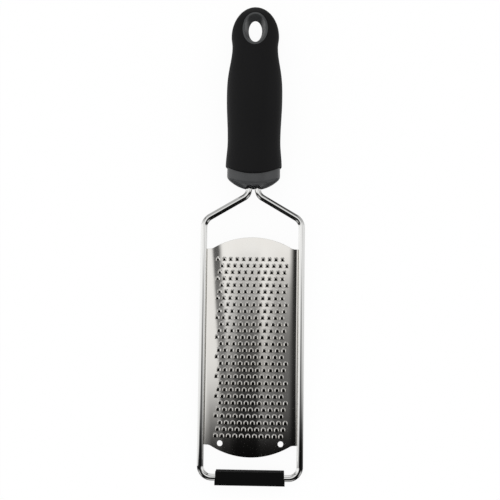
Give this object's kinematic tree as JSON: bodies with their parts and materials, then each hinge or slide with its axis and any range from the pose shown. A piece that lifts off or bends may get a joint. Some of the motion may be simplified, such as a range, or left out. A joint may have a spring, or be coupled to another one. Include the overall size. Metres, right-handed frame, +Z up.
{
  "type": "rasp zester",
  "caption": "Hand rasp zester: arched stainless plate of raised punched teeth on a bent wire frame, soft oval grip with a hanging hole and a rubber foot.",
  "frame": {"origin": "middle of the tool's bounding box in X and Y, on the table that it lies on", "axes": "+Z up, out of the grating side; +Y from the foot to the handle's head; +X across. The tool lies on its back on the handle and the foot, so its wire frame rises 2.1 degrees towards +Y"},
  "size_m": [0.0648, 0.2978, 0.0256],
  "materials": {
    "polished_wire": "polished",
    "plate_steel": "satin",
    "core_plastic": "fine matt",
    "grip_rubber": "satin",
    "foot_rubber": "satin"
  },
  "bodies": {
    "root": {"wire_frame": "polished_wire", "grating_plate": "plate_steel", "handle_core": "core_plastic", "soft_grip": "grip_rubber", "foot": "foot_rubber"}
  },
  "joints": []
}
